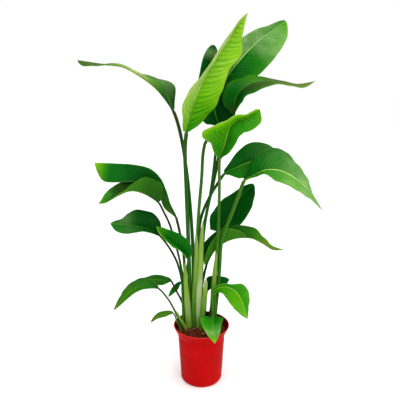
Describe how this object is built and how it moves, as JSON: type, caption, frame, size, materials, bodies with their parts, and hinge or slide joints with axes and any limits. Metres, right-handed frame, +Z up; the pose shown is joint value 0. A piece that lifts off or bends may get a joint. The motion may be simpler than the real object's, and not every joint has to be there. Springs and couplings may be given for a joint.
{
  "type": "potted bird of paradise plant",
  "caption": "Tall bird of paradise plant with broad, arching, glossy leaves on long stems, in a red plastic nursery pot with a flared rim.",
  "frame": {"origin": "centre of the pot's flat underside, on the surface that the pot stands on", "axes": "+Z up along the pot's axis, +X to the right and -Y towards the viewer, seen from the front"},
  "size_m": [0.812, 0.257, 1.263],
  "materials": {
    "pot": "moulded red polypropylene, satin gloss",
    "soil": "crumbly dark potting mix of peat and bark",
    "leaf": "glossy leathery dark green blade with a pale midrib",
    "young_leaf": "glossy bright yellow-green young blade",
    "sheath": "smooth pale green leaf sheath"
  },
  "bodies": {
    "root": {"pot": "pot", "soil": "soil", "leaf_far_left": "leaf", "leaf_tall_front": "young_leaf", "leaf_tall_back": "leaf", "leaf_tall_rear": "leaf", "leaf_twisted_right": "leaf", "leaf_scoop": "young_leaf", "leaf_right_rear": "leaf", "leaf_right_arching": "leaf", "leaf_left_arching": "leaf", "leaf_left_lobe": "leaf", "leaf_left_mid": "leaf", "leaf_centre_left": "leaf", "leaf_right_dark": "leaf", "leaf_right_low": "leaf", "leaf_low_left_long": "leaf", "leaf_low_left_short": "leaf", "leaf_low_rear": "leaf", "leaf_small_left": "leaf", "leaf_low_right": "young_leaf", "leaf_over_rim": "leaf", "leaf_low_right_rear": "leaf", "sheath_centre_short": "sheath", "sheath_centre_tall": "sheath", "sheath_left": "sheath", "sheath_right": "sheath", "sheath_small_right": "sheath", "sheath_low_left": "sheath"}
  },
  "joints": []
}
